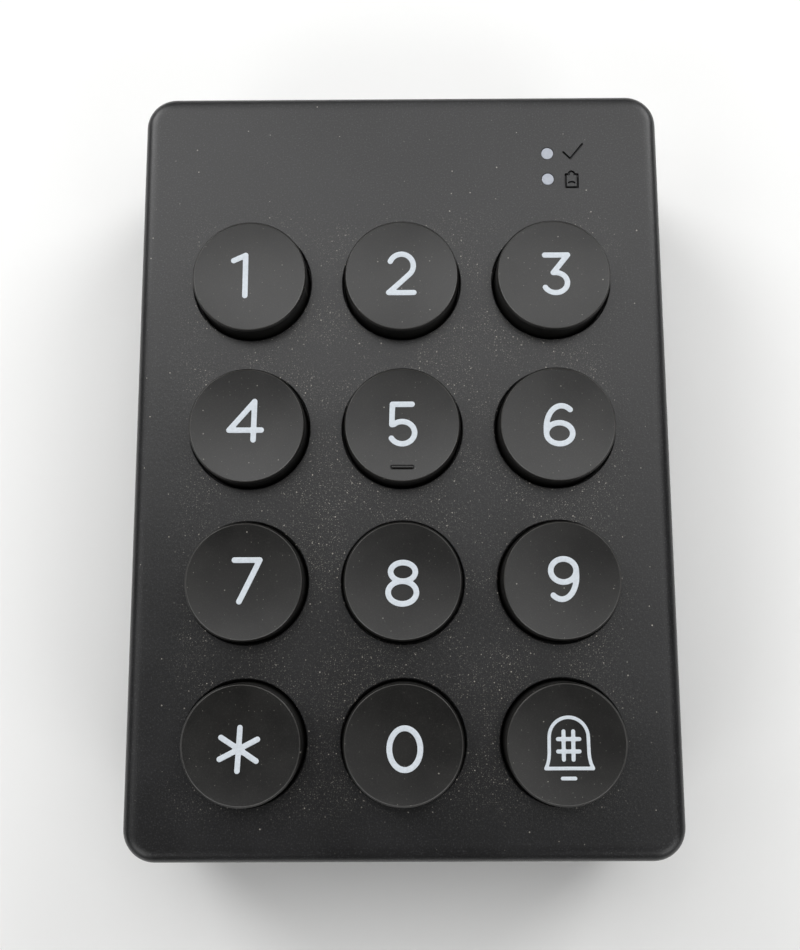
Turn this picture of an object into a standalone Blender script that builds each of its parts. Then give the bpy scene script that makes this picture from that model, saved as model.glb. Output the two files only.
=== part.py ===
"""Battery-powered wall keypad: twelve round keys in a slim two-part case on a wall plate.

World frame: millimetres times MM, +X to the user's right, +Y up the face, +Z out of the wall.
The origin is the middle of the keypad's back, on the wall.
"""

import math

import bmesh
import bpy

MM = 0.001

# Outline of the case
WIDTH = 70.5
HEIGHT = 101.8
CORNER_R = 4.2
EDGE_R = 1.5
WALL = 2.0
FACE_Z = 24.0
SEAM_Z = 9.0
CLEARANCE = 0.3

# Key grid
PITCH = 20.0
GRID_Y = -6.2
COLUMNS = (-PITCH, 0.0, PITCH)
ROWS = (GRID_Y + 1.5 * PITCH, GRID_Y + 0.5 * PITCH, GRID_Y - 0.5 * PITCH, GRID_Y - 1.5 * PITCH)
KEY_NAMES = ("1", "2", "3", "4", "5", "6", "7", "8", "9", "star", "0", "bell")
KEY_R = 7.5
KEY_HOLE_R = 7.9
KEY_PROUD = 3.0
KEY_DISH = 0.5
KEY_FLANGE_R = 8.6
KEY_TRAVEL = 1.2
KEY_SIDES = 24
KEY_TOP_Z = FACE_Z + KEY_PROUD
BAR_SIZE = (3.1, 0.55)
BAR_DROP = 5.45
BAR_PROUD = 0.1

# Indicator lights, near the top right corner
LIGHTS = {"status": (PITCH, 42.1), "battery": (PITCH, 38.4)}
LIGHT_R = 0.8
LIGHT_HOLE_R = LIGHT_R + CLEARANCE

# Layers from the wall outwards
PAD_Z = (0.0, 0.8)
PLATE_Z = (PAD_Z[1] + CLEARANCE, 3.1)
REAR_BACK_Z = 1.5
RECESS_Z = PLATE_Z[1] + CLEARANCE
SKIN_Z = (RECESS_Z, 5.0)
REAR_RIM_Z = SEAM_Z - CLEARANCE
FACE_INSIDE_Z = FACE_Z - WALL

# Batteries, size AAA, side by side
CELL_R = 5.25
CELL_LENGTH = 44.5
CELL_PITCH = 11.2
CELL_X = (-1.5 * CELL_PITCH, -0.5 * CELL_PITCH, 0.5 * CELL_PITCH, 1.5 * CELL_PITCH)
CELL_Z = RECESS_Z + 0.4 + CELL_R
SPRING_LENGTH = 4.4
CONTACT_T = 0.4
POCKET_Y = 5.0
POCKET_LENGTH = CELL_LENGTH + SPRING_LENGTH + CONTACT_T + 4 * CLEARANCE
POCKET_HALF = (22.6, POCKET_LENGTH / 2)
POCKET_WALL = 1.2
POCKET_ROOF_Z = (CELL_Z + CELL_R + 0.3, CELL_Z + CELL_R + 0.3 + POCKET_WALL)

# Electronics stack
BOARD_Z = (POCKET_ROOF_Z[1] + CLEARANCE, POCKET_ROOF_Z[1] + CLEARANCE + 1.6)
BOARD_SIZE = (64.0, 94.0)
BOARD_NOTCH = 8.4
UNDER_BOARD_Z = BOARD_Z[0] - CLEARANCE
ON_BOARD_Z = BOARD_Z[1] + CLEARANCE
MAT_Z = (ON_BOARD_Z, ON_BOARD_Z + 0.8)
MAT_MARGIN = 7.0
DOME_TOP_Z = FACE_INSIDE_Z - 2.0
DOME_ROOF = 0.5
PILL_R = 2.4
PILL_Z = (BOARD_Z[1] + KEY_TRAVEL + 0.05, DOME_TOP_Z - DOME_ROOF - CLEARANCE)

# Fasteners
CASE_SCREWS = ((-29.4, 45.4), (29.4, 45.4), (-29.4, -45.4), (29.4, -45.4))
CASE_BOSS_R = 2.6
CASE_SCREW_Z = 4.3
BOARD_SCREWS = ((-12.0, 40.0), (12.0, 40.0), (-PITCH / 2, ROWS[2] - PITCH / 2), (PITCH / 2, ROWS[2] - PITCH / 2))
BOARD_BOSS_R = 2.2

# Wall plate
PLATE_SIZE = (60.4, 91.7)
PLATE_HOLES = ((0.0, 24.0), (0.0, -24.0))
PLATE_HOLE_R = 2.15
PLATE_POSTS = ((-27.4, 22.0), (27.4, 22.0), (-27.4, -22.0), (27.4, -22.0))
POST_R = 1.8
POST_TOP_Z = 6.9

PARTS = "numeric_keypad"
CUTTERS = "cutters"


def clear_scene():
    for obj in list(bpy.data.objects):
        bpy.data.objects.remove(obj, do_unlink=True)
    for collection in list(bpy.data.collections):
        bpy.data.collections.remove(collection)
    for name in (PARTS, CUTTERS):
        collection = bpy.data.collections.new(name)
        bpy.context.scene.collection.children.link(collection)


def finish(name, color, roughness, metallic=0.0):
    material = bpy.data.materials.new(name)
    material.use_nodes = True
    shader = material.node_tree.nodes["Principled BSDF"]
    shader.inputs["Base Color"].default_value = (*color, 1.0)
    shader.inputs["Roughness"].default_value = roughness
    shader.inputs["Metallic"].default_value = metallic
    return material


def place(name, data, material=None, at=(0.0, 0.0, 0.0)):
    """Links a new object. With no material it is a cutter, which only shapes other objects."""
    obj = bpy.data.objects.new(name, data)
    obj.location = [MM * value for value in at]
    if material is None:
        obj.hide_render = True
        obj.display_type = "WIRE"
    else:
        data.materials.append(material)
    bpy.data.collections[CUTTERS if material is None else PARTS].objects.link(obj)
    return obj


def mesh_from(name, bm):
    bmesh.ops.scale(bm, vec=(MM, MM, MM), verts=bm.verts)
    bmesh.ops.recalc_face_normals(bm, faces=bm.faces)
    mesh = bpy.data.meshes.new(name)
    bm.to_mesh(mesh)
    bm.free()
    mesh.shade_smooth()
    mesh.set_sharp_from_angle(angle=math.radians(35))
    return mesh


def rim_edges(bm, level):
    return [e for e in bm.edges if all(abs(v.co.z - level) < 1e-4 for v in e.verts)]


def block(name, size, z_span, material=None, middle=(0.0, 0.0), corner=0.0, top=0.0, bottom=0.0):
    """A plate or box with rounded vertical corners and, where asked, rounded rims."""
    bm = bmesh.new()
    bmesh.ops.create_cube(bm, size=1.0)
    bmesh.ops.scale(bm, vec=(size[0], size[1], z_span[1] - z_span[0]), verts=bm.verts)
    bmesh.ops.translate(bm, vec=(middle[0], middle[1], sum(z_span) / 2), verts=bm.verts)
    if corner:
        upright = [e for e in bm.edges if abs(e.verts[0].co.z - e.verts[1].co.z) > 1e-4]
        bmesh.ops.bevel(bm, geom=upright, offset=corner, segments=6, profile=0.5, affect="EDGES")
    for radius, level in ((top, z_span[1]), (bottom, z_span[0])):
        if radius:
            rim = rim_edges(bm, level)
            bmesh.ops.bevel(bm, geom=rim, offset=radius, segments=3, profile=0.5, affect="EDGES")
    return place(name, mesh_from(name, bm), material)


def cylinders(name, places, radius, z_span, sides=16, top_radius=None):
    """Upright cylinders or cones in one cutter, one at each place."""
    bm = bmesh.new()
    for x, y in places:
        made = bmesh.ops.create_cone(bm, cap_ends=True, segments=sides, radius1=radius,
                                     radius2=radius if top_radius is None else top_radius,
                                     depth=z_span[1] - z_span[0])
        bmesh.ops.translate(bm, vec=(x, y, sum(z_span) / 2), verts=made["verts"])
    return place(name, mesh_from(name, bm))


def turned(name, profile, sides, material=None, at=(0.0, 0.0, 0.0)):
    """A solid of revolution about its own Z. The profile runs from the axis at the top, down the outside."""
    mesh = bpy.data.meshes.new(name)
    edges = [(n, n + 1) for n in range(len(profile) - 1)]
    mesh.from_pydata([(MM * r, 0.0, MM * z) for r, z in profile], edges, [])
    obj = place(name, mesh, material, at)
    screw = obj.modifiers.new("turn", "SCREW")
    screw.axis = "Z"
    screw.steps = sides
    screw.render_steps = sides
    screw.use_merge_vertices = True
    screw.merge_threshold = 0.00001
    screw.use_smooth_shade = False
    return obj


def combine(obj, operation, *tools):
    for tool in tools:
        boolean = obj.modifiers.new(tool.name, "BOOLEAN")
        boolean.operation = operation
        boolean.solver = "EXACT"
        boolean.object = tool
    return obj


def cut(obj, *tools):
    return combine(obj, "DIFFERENCE", *tools)


def join(obj, *tools):
    return combine(obj, "UNION", *tools)


def key_places():
    return [(x, y) for y in ROWS for x in COLUMNS]


def build_front_cover(material):
    inside = (WIDTH - 2 * WALL, HEIGHT - 2 * WALL)
    cover = block("front_cover", (WIDTH, HEIGHT), (SEAM_Z, FACE_Z), material, corner=CORNER_R, top=EDGE_R)
    cut(cover, block("front_hollow", inside, (SEAM_Z - 1, FACE_INSIDE_Z), corner=CORNER_R - WALL))
    join(cover, cylinders("front_case_bosses", CASE_SCREWS, CASE_BOSS_R, (SEAM_Z, FACE_INSIDE_Z + 0.5)))
    join(cover, cylinders("front_board_bosses", BOARD_SCREWS, BOARD_BOSS_R, (ON_BOARD_Z, FACE_INSIDE_Z + 0.5)))
    key_holes = cylinders("key_holes", key_places(), KEY_HOLE_R, (FACE_INSIDE_Z - 1, FACE_Z + 1), KEY_SIDES)
    light_holes = cylinders("light_holes", LIGHTS.values(), LIGHT_HOLE_R, (FACE_INSIDE_Z - 1, FACE_Z + 1), 12)
    case_bores = cylinders("front_case_bores", CASE_SCREWS, 1.3, (SEAM_Z - 1, 16.0), 12)
    board_bores = cylinders("front_board_bores", BOARD_SCREWS, 1.2, (ON_BOARD_Z - 1, 20.8), 12)
    cut(cover, key_holes, light_holes, case_bores, board_bores)


def gasket_ring(name, slack, z_span, material=None):
    """A closed ring that follows the case's wall; slack widens it on every side."""
    outer = [side - 2.6 + 2 * slack for side in (WIDTH, HEIGHT)]
    inner = [side - 2 * 0.9 - 4 * slack for side in outer]
    ring = block(name, outer, z_span, material, corner=CORNER_R - 1.3)
    tall = (z_span[0] - 1, z_span[1] + 1)
    return cut(ring, block(name + "_middle", inner, tall, corner=CORNER_R - 2.2))


def build_rear_cover(material):
    outline = (WIDTH - 0.6, HEIGHT - 0.6)
    cover = block("rear_cover", outline, (REAR_BACK_Z, REAR_RIM_Z), material, corner=CORNER_R - 0.3, bottom=1.2)
    hollow = (outline[0] - 6.4, outline[1] - 6.4)
    cut(cover, block("rear_hollow", hollow, (SKIN_Z[1], SEAM_Z + 1), corner=1.5))
    pocket = [2 * half for half in POCKET_HALF]
    pocket_outside = [side + 2 * POCKET_WALL for side in pocket]
    middle = (0.0, POCKET_Y)
    join(cover, block("pocket_walls", pocket_outside, (SKIN_Z[0] + 0.4, POCKET_ROOF_Z[1]), middle=middle))
    join(cover, cylinders("rear_case_bosses", CASE_SCREWS, 3.4, (SKIN_Z[1] - 0.5, REAR_RIM_Z)))
    join(cover, cylinders("post_sockets", PLATE_POSTS, 3.3, (SKIN_Z[1] - 0.5, 8.5)))
    recess = [side + 2 * CLEARANCE for side in PLATE_SIZE]
    cut(cover, block("plate_recess", recess, (0.0, RECESS_Z), corner=3.3))
    cut(cover, block("pocket", pocket, (2.0, POCKET_ROOF_Z[0]), middle=middle))
    cut(cover, gasket_ring("gasket_groove", CLEARANCE, (7.6, SEAM_Z + 1)))
    cut(cover, cylinders("counterbores", CASE_SCREWS, 2.6, (REAR_BACK_Z - 1, 6.0), 12))
    cut(cover, cylinders("rear_case_bores", CASE_SCREWS, 1.3, (2.0, SEAM_Z + 1), 12))
    cut(cover, cylinders("post_holes", PLATE_POSTS, POST_R + CLEARANCE, (2.0, POST_TOP_Z + CLEARANCE), 12))


def build_wall_plate(material, pad_material):
    plate = block("wall_plate", PLATE_SIZE, PLATE_Z, material, corner=3.0)
    join(plate, cylinders("plate_posts", PLATE_POSTS, POST_R, (PLATE_Z[0] + 0.5, POST_TOP_Z), 12))
    cut(plate, cylinders("plate_screw_holes", PLATE_HOLES, PLATE_HOLE_R, (0.0, PLATE_Z[1] + 1)))
    cut(plate, cylinders("countersinks", PLATE_HOLES, PLATE_HOLE_R - 1.0, (0.3, PLATE_Z[1] + 0.3), top_radius=4.3))
    for name, y in (("adhesive_pad_top", 37.5), ("adhesive_pad_bottom", -37.5)):
        block(name, (50.0, 13.0), PAD_Z, pad_material, middle=(0.0, y), corner=2.0)


def build_key_mat(material):
    size = (2 * PITCH + 2 * MAT_MARGIN, 3 * PITCH + 2 * MAT_MARGIN)
    mat = block("key_mat", size, MAT_Z, material, middle=(0.0, GRID_Y), corner=3.0)
    places = key_places()
    join(mat, cylinders("dome_outsides", places, 5.2, (MAT_Z[1] - 0.3, DOME_TOP_Z), top_radius=3.3))
    hollow = (MAT_Z[0] - 0.3, DOME_TOP_Z - DOME_ROOF)
    cut(mat, cylinders("dome_hollows", places, 4.8, hollow, top_radius=2.9))
    cut(mat, cylinders("mat_boss_holes", BOARD_SCREWS[2:], BOARD_BOSS_R + 0.4, (MAT_Z[0] - 1, MAT_Z[1] + 1), 12))


def build_keys(material, pill_material):
    flange_top = FACE_INSIDE_Z - 0.4
    flange_base = flange_top - 0.9
    hollow_top = KEY_TOP_Z - 2.1
    plunger_base = DOME_TOP_Z + CLEARANCE
    profile = (
        (0.0, KEY_TOP_Z - KEY_DISH),
        (4.0, KEY_TOP_Z - 0.7 * KEY_DISH),
        (KEY_R - 0.4, KEY_TOP_Z),
        (KEY_R, KEY_TOP_Z - 0.35),
        (KEY_R, flange_top),
        (KEY_FLANGE_R, flange_top),
        (KEY_FLANGE_R, flange_base),
        (KEY_R - 1.2, flange_base),
        (KEY_R - 1.2, hollow_top),
        (2.8, hollow_top),
        (2.8, plunger_base),
        (0.0, plunger_base),
    )
    pill = ((0.0, PILL_Z[1]), (PILL_R, PILL_Z[1]), (PILL_R, PILL_Z[0]), (0.0, PILL_Z[0]))
    for name, (x, y) in zip(KEY_NAMES, key_places()):
        key = turned("key_" + name, profile, KEY_SIDES, material, (x, y, 0.0))
        if name == "5":
            bar_z = (KEY_TOP_Z - KEY_DISH - 0.4, KEY_TOP_Z + BAR_PROUD)
            join(key, block("finding_bar", BAR_SIZE, bar_z, middle=(x, y - BAR_DROP)))
        turned("contact_pill_" + name, pill, 12, pill_material, (x, y, 0.0))


def build_board(board_material, chip_material, shield_material, buzzer_material):
    board = block("circuit_board", BOARD_SIZE, BOARD_Z, board_material, corner=2.0)
    through = (BOARD_Z[0] - 1, BOARD_Z[1] + 1)
    for x, y in CASE_SCREWS:
        corner = (x + math.copysign(1.0, x), y + math.copysign(1.0, y))
        cut(board, block("board_notch", (BOARD_NOTCH, BOARD_NOTCH), through, middle=corner, corner=0.5))
    cut(board, cylinders("board_screw_holes", BOARD_SCREWS, 1.2, through, 12))
    under = UNDER_BOARD_Z
    block("radio_module", (12.0, 16.0), (under - 2.4, under), shield_material, (13.0, -37.5), corner=0.6)
    block("controller_chip", (7.0, 7.0), (under - 1.0, under), chip_material, (-2.0, -36.0))
    sound_hole = ((0.0, under), (5.0, under), (5.0, under - 4.0), (1.0, under - 4.0), (1.0, under - 3.0),
                  (0.0, under - 3.0))
    turned("buzzer", sound_hole, 20, buzzer_material, (-17.0, -37.0, 0.0))


def build_lights(guide_material, led_material):
    middle = (LIGHTS["status"][0], (LIGHTS["status"][1] + LIGHTS["battery"][1]) / 2)
    bar_z = (ON_BOARD_Z + 1.1, ON_BOARD_Z + 2.4)
    guide = block("light_guide", (3.0, 9.6), bar_z, guide_material, middle)
    for side in (-1, 1):
        foot = (middle[0], middle[1] + side * 4.3)
        join(guide, block("guide_foot", (3.0, 1.0), (ON_BOARD_Z, bar_z[0] + 0.4), middle=foot))
    join(guide, cylinders("light_pipes", LIGHTS.values(), LIGHT_R, (bar_z[1] - 0.4, FACE_Z), 12))
    for name, spot in LIGHTS.items():
        block(name + "_led", (1.6, 1.2), (ON_BOARD_Z, ON_BOARD_Z + 0.6), led_material, spot)


def build_spring(name, x, foot_y, direction, material):
    """A conical coil of round wire, widest at its foot, along Y."""
    turns, steps, wire = 3, 10, 0.3
    run = SPRING_LENGTH - 2 * wire
    curve = bpy.data.curves.new(name, "CURVE")
    curve.dimensions = "3D"
    curve.bevel_depth = MM * wire
    curve.bevel_resolution = 1
    curve.use_fill_caps = True
    spline = curve.splines.new("POLY")
    count = turns * steps + 1
    spline.points.add(count - 1)
    for n in range(count):
        part = n / (count - 1)
        angle = 2 * math.pi * turns * part
        radius = 3.6 - 1.5 * part
        along = direction * (wire + run * part)
        point = (radius * math.cos(angle), along, radius * math.sin(angle))
        spline.points[n].co = (*[MM * value for value in point], 1.0)
    place(name, curve, material, (x, foot_y, CELL_Z))


def build_batteries(sleeve_material, spring_material, contact_material):
    half = CELL_LENGTH / 2
    profile = ((0.0, half), (1.9, half), (1.9, half - 1.0), (CELL_R - 0.3, half - 1.0), (CELL_R, half - 1.3),
               (CELL_R, 0.3 - half), (CELL_R - 0.3, -half), (0.0, -half))
    for n, x in enumerate(CELL_X):
        up = 1 if n % 2 == 0 else -1
        contact_end = POCKET_Y + up * POCKET_HALF[1]
        spring_end = POCKET_Y - up * POCKET_HALF[1]
        contact_y = contact_end - up * (CLEARANCE + CONTACT_T / 2)
        cell_y = contact_y - up * (CONTACT_T / 2 + CLEARANCE + half)
        cell = turned(f"battery_{n + 1}", profile, 16, sleeve_material, (x, cell_y, CELL_Z))
        cell.rotation_euler = (-up * math.pi / 2, 0.0, 0.0)
        contact_z = (CELL_Z - 4.0, CELL_Z + 4.0)
        block(f"battery_contact_{n + 1}", (8.0, CONTACT_T), contact_z, contact_material, (x, contact_y))
        build_spring(f"battery_spring_{n + 1}", x, spring_end + up * CLEARANCE, up, spring_material)


def build_screws(material):
    def screw(name, spot, base, head_r, head_t, shank_r, tip):
        profile = ((0.0, tip), (shank_r * 0.6, tip), (shank_r, tip - 0.6), (shank_r, base + head_t),
                   (head_r, base + head_t), (head_r, base + 0.4), (head_r * 0.75, base), (0.0, base))
        turned(name, profile, 12, material, (*spot, 0.0))

    for n, spot in enumerate(CASE_SCREWS):
        screw(f"case_screw_{n + 1}", spot, CASE_SCREW_Z, 2.2, 1.4, 1.0, 15.5)
    for n, spot in enumerate(BOARD_SCREWS):
        screw(f"board_screw_{n + 1}", spot, UNDER_BOARD_Z - 1.5, 1.9, 1.5, 0.85, 20.4)


def build():
    clear_scene()
    case_black = finish("case_plastic", (0.016, 0.016, 0.017), 0.5)
    key_black = finish("key_plastic", (0.014, 0.014, 0.014), 0.4)
    silicone = finish("key_mat_silicone", (0.32, 0.33, 0.34), 0.6)
    gasket_rubber = finish("gasket_rubber", (0.02, 0.02, 0.02), 0.8)
    carbon = finish("contact_pill_carbon", (0.03, 0.03, 0.03), 0.7)
    board_green = finish("board_laminate", (0.02, 0.12, 0.05), 0.45)
    chip_black = finish("chip_resin", (0.02, 0.02, 0.022), 0.55)
    shield_tin = finish("radio_shield", (0.62, 0.62, 0.6), 0.35, 1.0)
    buzzer_black = finish("buzzer_plastic", (0.025, 0.025, 0.025), 0.5)
    guide_clear = finish("light_guide_plastic", (0.55, 0.58, 0.62), 0.2)
    led_white = finish("led_resin", (0.8, 0.8, 0.7), 0.3)
    sleeve = finish("battery_sleeve", (0.1, 0.2, 0.32), 0.35, 0.2)
    spring_steel = finish("spring_steel", (0.7, 0.7, 0.68), 0.3, 1.0)
    contact_nickel = finish("contact_nickel", (0.68, 0.66, 0.62), 0.3, 1.0)
    screw_steel = finish("screw_steel", (0.5, 0.5, 0.5), 0.35, 1.0)
    plate_black = finish("wall_plate_plastic", (0.02, 0.02, 0.021), 0.6)
    pad_foam = finish("pad_foam", (0.6, 0.6, 0.58), 0.85)

    build_front_cover(case_black)
    build_rear_cover(case_black)
    gasket_ring("case_gasket", 0.0, (7.9, REAR_RIM_Z), gasket_rubber)
    build_wall_plate(plate_black, pad_foam)
    build_key_mat(silicone)
    build_keys(key_black, carbon)
    build_board(board_green, chip_black, shield_tin, buzzer_black)
    build_lights(guide_clear, led_white)
    build_batteries(sleeve, spring_steel, contact_nickel)
    build_screws(screw_steel)


build()
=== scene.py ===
"""Finished pieces, materials and studio of a battery-powered wall keypad with twelve round keys."""

import contextlib
import math

import bmesh
import bpy
from bpy.props import FloatProperty, FloatVectorProperty, IntProperty, PointerProperty
from mathutils import Matrix, Vector


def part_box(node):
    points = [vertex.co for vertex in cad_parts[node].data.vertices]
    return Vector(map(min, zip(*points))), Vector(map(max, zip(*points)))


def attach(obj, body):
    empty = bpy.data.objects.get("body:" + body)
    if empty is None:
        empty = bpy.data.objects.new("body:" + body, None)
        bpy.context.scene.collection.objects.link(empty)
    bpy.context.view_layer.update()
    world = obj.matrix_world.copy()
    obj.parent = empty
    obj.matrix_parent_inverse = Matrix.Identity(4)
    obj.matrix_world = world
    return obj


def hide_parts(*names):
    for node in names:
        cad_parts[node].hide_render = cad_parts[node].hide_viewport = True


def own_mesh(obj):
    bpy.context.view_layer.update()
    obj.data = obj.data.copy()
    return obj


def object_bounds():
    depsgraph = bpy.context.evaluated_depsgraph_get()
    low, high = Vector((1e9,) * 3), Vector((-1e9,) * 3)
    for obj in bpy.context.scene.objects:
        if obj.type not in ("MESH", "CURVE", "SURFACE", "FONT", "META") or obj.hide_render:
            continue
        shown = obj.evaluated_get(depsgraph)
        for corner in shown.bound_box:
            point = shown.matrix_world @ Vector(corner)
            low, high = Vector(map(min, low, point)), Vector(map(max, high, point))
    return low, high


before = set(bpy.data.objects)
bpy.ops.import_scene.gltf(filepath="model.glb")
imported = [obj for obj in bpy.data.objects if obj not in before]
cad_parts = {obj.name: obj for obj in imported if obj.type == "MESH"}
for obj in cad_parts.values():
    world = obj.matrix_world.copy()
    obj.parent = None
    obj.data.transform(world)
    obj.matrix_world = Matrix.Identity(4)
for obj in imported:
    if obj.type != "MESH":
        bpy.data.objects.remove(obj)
CAD_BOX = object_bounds()

bl_info = {
    "name": "Wall Keypad",
    "version": (1, 0, 0),
    "blender": (4, 5, 0),
    "location": "View3D > Sidebar > Keypad",
    "description": "Builds the case, keys, figures, fixings and studio of a wall keypad around its frame",
    "category": "Object",
}

MM = 0.001
TURN = 2 * math.pi
KEY_NAMES = ("1", "2", "3", "4", "5", "6", "7", "8", "9", "star", "0", "bell")

# Places that come from the frame
COVER_LOW, COVER_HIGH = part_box("front_cover")
REAR_LOW, REAR_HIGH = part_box("rear_cover")
PLATE_LOW, PLATE_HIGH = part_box("wall_plate")
KEY_LOW, KEY_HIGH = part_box("key_1")
GUIDE_LOW, GUIDE_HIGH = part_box("light_guide")
BOARD_LOW, BOARD_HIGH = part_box("circuit_board")
FACE_Z = COVER_HIGH.z


def middle(node):
    low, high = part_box(node)
    return (low + high) / 2


KEY_PLACES = {name: middle("contact_pill_" + name) for name in KEY_NAMES}
LIGHT_PLACES = {name: middle(name + "_led") for name in ("status", "battery")}
CASE_SCREW_PLACES = [middle(f"case_screw_{n}") for n in range(1, 5)]
BOARD_SCREW_PLACES = [middle(f"board_screw_{n}") for n in range(1, 5)]
# The plate's posts stand in sockets of the rear cover
POST_PLACES = [(x * MM, y * MM) for x in (-27.4, 27.4) for y in (-22, 22)]


# ---------------------------------------------------------------- sizes and colours


def length(name, default, description):
    return FloatProperty(name=name, description=description, default=default * MM, unit="LENGTH",
                         precision=5)


def colour(name, default, description):
    return FloatVectorProperty(name=name, description=description, default=default, size=3, subtype="COLOR",
                               min=0.0, max=1.0)


class KeypadCaseSettings(bpy.types.PropertyGroup):
    corner: length("Corner", 4.2, "Radius of the case's four upright corners")
    edge: length("Face edge", 2.4, "Width of the rounded edge around the face")
    crown: FloatProperty(name="Crown", description="Shape of the face edge: 0.5 is round, 1 is square",
                         default=0.62)
    wall: length("Wall", 2.0, "Thickness of the front cover's walls")
    hole: length("Key hole", 7.86, "Radius of each key hole")
    hole_edge: length("Hole edge", 0.18, "Radius of the rounded rim of each hole")
    sign_width: length("Sign stroke", 0.3, "Width of the engraved strokes beside the lights")
    sign_depth: length("Sign depth", 0.36, "Depth of the engraved strokes beside the lights")
    black: colour("Case black", (0.0062, 0.0062, 0.0066), "Colour of the moulded case")
    dust: colour("Dust", (0.46, 0.43, 0.38), "Colour of the fine dust on the face")


class KeypadKeySettings(bpy.types.PropertyGroup):
    radius: length("Cap radius", 7.5, "Radius of each key cap")
    dish: length("Dish depth", 0.5, "How far the middle of a key cap lies under its rim")
    rim: length("Rim width", 0.1, "Width of the rounded rim around the dish")
    draft: length("Edge slope", 0.17, "Width of the steep slope from the rim to the side of a cap")
    stroke: length("Figure stroke", 0.72, "Width of the strokes of the figures")
    proud: length("Figure relief", 0.03, "How far the figures stand out of the dish")
    black: colour("Key black", (0.0062, 0.0060, 0.0056), "Colour of the key caps")
    dust: colour("Dust", (0.40, 0.38, 0.34), "Colour of the few specks on the key caps")
    white: colour("Figure white", (0.62, 0.67, 0.72), "Colour of the figures")
    steps: IntProperty(name="Steps", description="Sides of each round cap", default=128, min=24, max=256)


class KeypadStudioSettings(bpy.types.PropertyGroup):
    lens: FloatProperty(name="Lens", description="Focal length on a 36 mm sensor", default=39.18 * MM,
                        unit="LENGTH", precision=5)
    distance: length("Distance", 131.7, "From the camera to the point that it looks at")
    elevation: FloatProperty(name="Elevation", description="Height of the camera as an angle",
                             default=math.radians(81.27), subtype="ANGLE")
    azimuth: FloatProperty(name="Azimuth", description="Turn of the camera to the right of the foot",
                           default=math.radians(1.63), subtype="ANGLE")
    roll: FloatProperty(name="Roll", description="Turn of the camera about its own axis",
                        default=math.radians(-1.89), subtype="ANGLE")
    reach: length("Reach", 600, "Distance of the soft lights from the keypad")
    panel: length("Panel", 260, "Side of each square soft light")
    power: FloatProperty(name="Power", description="Factor on the power of every soft light", default=1.0)
    sky: FloatProperty(name="Ceiling", description="Brightness of the room overhead", default=0.012)
    walls: FloatProperty(name="Walls", description="Brightness of the room near the horizon", default=0.18)


# Soft lights: name, turn to the right of the keypad's head and tilt from straight up in degrees, and watts
SOFT_LIGHTS = (
    ("head_light_1", 0.0, 12.0, 0.19),
    ("head_light_2", 0.0, 25.0, 0.22),
    ("head_light_3", 0.0, 38.0, 0.155),
    ("head_light_4", 0.0, 55.0, 0.25),
    ("right_light_1", 40.0, 30.0, 0.39),
    ("right_light_2", 45.0, 55.0, 1.12),
    ("right_light_3", 90.0, 25.0, 0.32),
    ("left_light_1", -40.0, 30.0, 0.49),
    ("left_light_2", -45.0, 55.0, 1.24),
    ("left_light_3", -90.0, 40.0, 0.30),
    ("foot_light_right", 140.0, 55.0, 0.62),
    ("foot_light_left", -140.0, 55.0, 0.56),
)


# ---------------------------------------------------------------- shader helpers


class Value:
    """A shader socket that can be used in sums."""

    def __init__(self, net, socket):
        self.net = net
        self.socket = socket

    def math(self, operation, *others):
        return self.net.node("ShaderNodeMath", {"operation": operation}, dict(enumerate((self, *others))))

    def __add__(self, other):
        return self.math("ADD", other)

    def __sub__(self, other):
        return self.math("SUBTRACT", other)

    def __rsub__(self, other):
        return self.net.node("ShaderNodeMath", {"operation": "SUBTRACT"}, {0: other, 1: self})

    def __mul__(self, other):
        return self.math("MULTIPLY", other)

    def __lt__(self, other):
        return self.math("LESS_THAN", other)

    def __gt__(self, other):
        return self.math("GREATER_THAN", other)

    def __abs__(self):
        return self.math("ABSOLUTE")

    __radd__ = __add__
    __rmul__ = __mul__


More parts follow.
